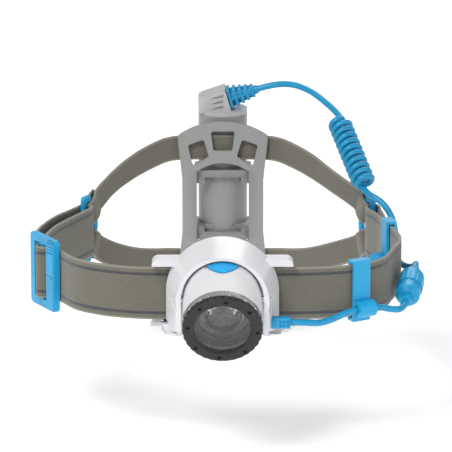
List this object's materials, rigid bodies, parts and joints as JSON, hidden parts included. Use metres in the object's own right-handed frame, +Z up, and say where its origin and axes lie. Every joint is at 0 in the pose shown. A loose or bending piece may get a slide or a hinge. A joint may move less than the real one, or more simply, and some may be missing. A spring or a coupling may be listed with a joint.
{
  "type": "head lamp",
  "caption": "Sport head lamp with a tilting focusing lamp head, elastic head band, rear battery cradle and curly cord.",
  "frame": {"origin": "centre of the space for the head, at mid height of the front band", "axes": "+Z up, the lamp faces -Y, +X is the side with the cord, the battery is at +Y"},
  "size_m": [0.1851, 0.2367, 0.1098],
  "materials": {
    "white_plastic": "smooth satin gloss",
    "blue_plastic": "satin moulded",
    "blue_button": "soft satin",
    "dark_bezel": "fine matt grain",
    "silver_ring": "satin turned",
    "heat_sink_metal": "as cast",
    "clear_glass": "polished",
    "clear_lens": "polished",
    "carrier_black": "matt",
    "board_green": "solder mask",
    "led_yellow": "phosphor",
    "black_rubber": "matt",
    "switch_metal": "brushed",
    "steel": "bright",
    "elastic_taupe": "woven",
    "grey_plastic": "fine satin",
    "case_grey": "fine satin",
    "cell_wrap": "shrink film",
    "spring_steel": "plated",
    "red_lens": "polished",
    "cord_blue": "smooth satin",
    "pad_foam": "brushed knit over foam"
  },
  "bodies": {
    "root": {"main_strap": "elastic_taupe", "rear_strap_upper": "elastic_taupe", "rear_strap_lower": "elastic_taupe", "ring_left": "blue_plastic", "ring_right": "blue_plastic", "adjuster": "blue_plastic", "front_bracket": "white_plastic", "forehead_pad": "pad_foam", "pivot_pins": "steel", "lamp_cable_boot": "cord_blue", "cradle": "grey_plastic", "battery_case": "case_grey", "case_cap": "case_grey", "cap_seal": "black_rubber", "battery_cell": "cell_wrap", "contact_plate": "board_green", "charge_board": "board_green", "rear_light_lens": "red_lens", "rear_light_led": "led_yellow", "door_hinge_pin": "steel", "battery_cable_boot": "cord_blue", "battery_cord_upper": "cord_blue", "cord_coil": "cord_blue", "battery_cord_lower": "cord_blue", "lamp_cord": "cord_blue", "connector_plug_half": "blue_plastic", "connector_seal": "black_rubber", "connector_socket_half": "blue_plastic", "cable_clip_front": "blue_plastic", "cable_clip_side": "blue_plastic"},
    "head": {"head_shell": "white_plastic", "rear_cover": "white_plastic", "shell_seal": "black_rubber", "cover_screws": "steel", "scale_ring": "silver_ring", "heat_sink": "heat_sink_metal", "led_board": "board_green", "led_chip": "led_yellow", "driver_board": "board_green", "tact_switch": "switch_metal"},
    "button": {"power_button": "blue_button"},
    "focus_ring": {"focus_bezel": "dark_bezel", "front_glass": "clear_glass", "glass_gasket": "black_rubber"},
    "lens": {"tir_lens": "clear_lens", "lens_carrier": "carrier_black"},
    "door": {"battery_door": "case_grey", "door_seal": "black_rubber", "contact_spring": "spring_steel"},
    "nut": {"coupling_nut": "blue_plastic"}
  },
  "joints": [
    {"name": "head_tilt", "type": "hinge", "parent": "root", "child": "head", "pos_m": [0, -0.099, 0.0025], "axis": [1, 0, 0], "range_deg": [-22, 38]},
    {"name": "button_press", "type": "slide", "parent": "head", "child": "button", "axis": [0, 0.3746, -0.9272], "range_m": [0, 0.0008], "stiffness_N_per_m": 1500},
    {"name": "focus_turn", "type": "hinge", "parent": "head", "child": "focus_ring", "pos_m": [0, -0.099, 0.0025], "axis": [0, -0.9272, -0.3746], "range_deg": [0, 90]},
    {"name": "lens_slide", "type": "slide", "parent": "head", "child": "lens", "axis": [0, -0.9272, -0.3746], "range_m": [0, 0.004]},
    {"name": "door_hinge", "type": "hinge", "parent": "root", "child": "door", "pos_m": [0, 0.1081, -0.0474], "axis": [1, 0, 0], "range_deg": [0, 100]},
    {"name": "nut_turn", "type": "hinge", "parent": "root", "child": "nut", "pos_m": [0.085, -0.062, -0.0095], "axis": [0.1751, 0.9552, 0.2388], "range_deg": [0, 60]}
  ],
  "couplings": [
    {"joint": "lens_slide", "follows": "focus_turn", "m_per_rad": 0.0025439}
  ]
}
